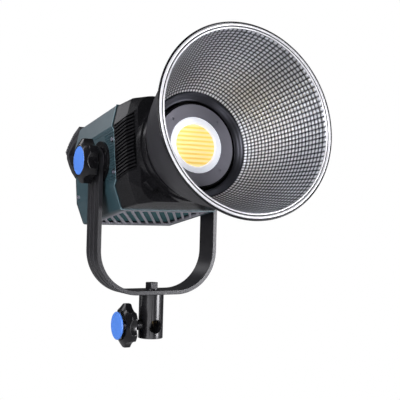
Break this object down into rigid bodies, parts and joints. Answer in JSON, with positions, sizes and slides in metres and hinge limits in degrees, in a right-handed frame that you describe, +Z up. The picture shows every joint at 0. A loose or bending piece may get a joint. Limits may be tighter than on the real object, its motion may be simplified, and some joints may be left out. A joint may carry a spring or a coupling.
{
  "type": "studio monolight",
  "caption": "Fan-cooled LED studio monolight head on a U yoke with tilt lock, stand socket and a removable dimpled bell reflector.",
  "frame": {"origin": "centre of the stand socket's mouth", "axes": "+Z up along the socket towards the yoke, -Y towards the light's front, +X across the tilt axis"},
  "size_m": [0.192, 0.3563, 0.3361],
  "materials": {
    "yoke_paint": "satin black powder coat",
    "receiver_black": "gloss black",
    "steel": "bright zinc",
    "friction_fibre": "matt",
    "knob_plastic": "gloss black",
    "brass": "satin",
    "cap_blue": "satin blue",
    "body_teal": "satin dark teal",
    "shroud_plastic": "satin black",
    "boss_plastic": "gloss black",
    "mount_metal": "black anodised",
    "grille_grey": "satin grey",
    "fin_aluminium": "mill finish",
    "pipe_copper": "copper",
    "led_ceramic": "white",
    "led_phosphor": "yellow phosphor",
    "holder_grey": "satin grey",
    "fan_plastic": "matt black",
    "circuit_board": "green solder mask",
    "display_glass": "gloss",
    "dial_rubber": "matt",
    "button_plastic": "matt grey",
    "socket_plastic": "satin black",
    "rocker_red": "gloss red",
    "port_metal": "bright",
    "handle_plastic": "satin black",
    "grip_rubber": "matt",
    "reflector_silver": "bright dimpled anodised",
    "rim_polished": "polished"
  },
  "bodies": {
    "yoke": {"yoke_bracket": "yoke_paint", "stand_receiver": "receiver_black", "receiver_bolt": "receiver_black", "receiver_washer": "receiver_black", "lock_bush": "receiver_black", "friction_discs": "friction_fibre"},
    "head": {"body_shell": "body_teal", "front_shroud": "shroud_plastic", "mount_ring": "mount_metal", "mount_screws": "steel", "left_vent": "shroud_plastic", "right_vent": "shroud_plastic", "top_grille": "grille_grey", "bottom_grille": "grille_grey", "left_boss": "boss_plastic", "right_boss": "boss_plastic", "tilt_stud": "steel", "pivot_bolt": "steel", "pivot_bolt_cap": "boss_plastic", "heatsink": "fin_aluminium", "heat_pipes": "pipe_copper", "nose_tube": "mount_metal", "led_board": "led_ceramic", "led_emitter": "led_phosphor", "diffuser_ring": "led_ceramic", "emitter_holder": "holder_grey", "fan_frame": "fan_plastic", "driver_board": "circuit_board", "control_board": "circuit_board", "rear_panel": "shroud_plastic", "display_window": "display_glass", "power_switch": "socket_plastic", "power_inlet": "socket_plastic", "data_port": "port_metal", "rear_handle": "handle_plastic", "handle_grip": "grip_rubber", "handle_screws": "steel", "housing_screws": "steel"},
    "tilt_washer": {"tilt_washer": "steel"},
    "tilt_knob": {"tilt_knob": "knob_plastic", "tilt_knob_insert": "brass", "tilt_knob_cap": "cap_blue"},
    "lock_pad": {"lock_pad": "brass"},
    "receiver_knob": {"lock_screw": "steel", "receiver_knob": "knob_plastic", "receiver_knob_cap": "cap_blue"},
    "reflector": {"reflector_bell": "reflector_silver", "reflector_rim": "rim_polished", "reflector_collar": "mount_metal", "reflector_spigot": "mount_metal"},
    "fan": {"fan_rotor": "fan_plastic"},
    "brightness_dial": {"brightness_dial": "dial_rubber"},
    "colour_dial": {"colour_dial": "dial_rubber"},
    "mode_button": {"mode_button": "button_plastic"},
    "menu_button": {"menu_button": "button_plastic"},
    "back_button": {"back_button": "button_plastic"},
    "power_rocker": {"power_rocker": "rocker_red"},
    "mount_latch": {"mount_latch": "mount_metal"}
  },
  "joints": [
    {"name": "head_tilt", "type": "hinge", "parent": "yoke", "child": "head", "pos_m": [0, 0, 0.197], "axis": [-1, 0, 0], "range_deg": [-60, 80]},
    {"name": "tilt_knob_turn", "type": "hinge", "parent": "tilt_washer", "child": "tilt_knob", "pos_m": [-0.08, 0, 0.197], "axis": [-1, 0, 0], "range_deg": [0, 540]},
    {"name": "tilt_washer_slide", "type": "slide", "parent": "yoke", "child": "tilt_washer", "axis": [-1, 0, 0], "range_m": [0, 0.00226]},
    {"name": "receiver_knob_turn", "type": "hinge", "parent": "lock_pad", "child": "receiver_knob", "pos_m": [-0.03, 0, 0.0152], "axis": [-1, 0, 0], "range_deg": [0, 720]},
    {"name": "lock_pad_slide", "type": "slide", "parent": "yoke", "child": "lock_pad", "axis": [-1, 0, 0], "range_m": [0, 0.00251]},
    {"name": "reflector_twist", "type": "hinge", "parent": "head", "child": "reflector", "pos_m": [0, -0.07681, 0.21055], "axis": [0, -0.9848, 0.1736], "range_deg": [0, 20]},
    {"name": "fan_spin", "type": "hinge", "parent": "head", "child": "fan", "pos_m": [0, 0.04924, 0.18832], "axis": [0, -0.9848, 0.1736], "continuous": true},
    {"name": "brightness_turn", "type": "hinge", "parent": "head", "child": "brightness_dial", "pos_m": [-0.028, 0.08794, 0.17743], "axis": [0, 0.9848, -0.1736], "continuous": true},
    {"name": "colour_turn", "type": "hinge", "parent": "head", "child": "colour_dial", "pos_m": [0.028, 0.08794, 0.17743], "axis": [0, 0.9848, -0.1736], "continuous": true},
    {"name": "mode_press", "type": "slide", "parent": "head", "child": "mode_button", "axis": [0, -0.9848, 0.1736], "range_m": [0, 0.001], "stiffness_N_per_m": 400},
    {"name": "menu_press", "type": "slide", "parent": "head", "child": "menu_button", "axis": [0, -0.9848, 0.1736], "range_m": [0, 0.001], "stiffness_N_per_m": 400},
    {"name": "back_press", "type": "slide", "parent": "head", "child": "back_button", "axis": [0, -0.9848, 0.1736], "range_m": [0, 0.001], "stiffness_N_per_m": 400},
    {"name": "rocker_tip", "type": "hinge", "parent": "head", "child": "power_rocker", "pos_m": [0.028, 0.07387, 0.14945], "axis": [0, 0.1736, 0.9848], "range_deg": [-14, 0]},
    {"name": "latch_pull", "type": "slide", "parent": "head", "child": "mount_latch", "axis": [-0.7547, -0.1139, -0.6461], "range_m": [0, 0.003], "stiffness_N_per_m": 400}
  ],
  "couplings": [
    {"joint": "tilt_washer_slide", "follows": "tilt_knob_turn", "m_per_rad": 0.00023873},
    {"joint": "lock_pad_slide", "follows": "receiver_knob_turn", "m_per_rad": 0.00019894}
  ]
}
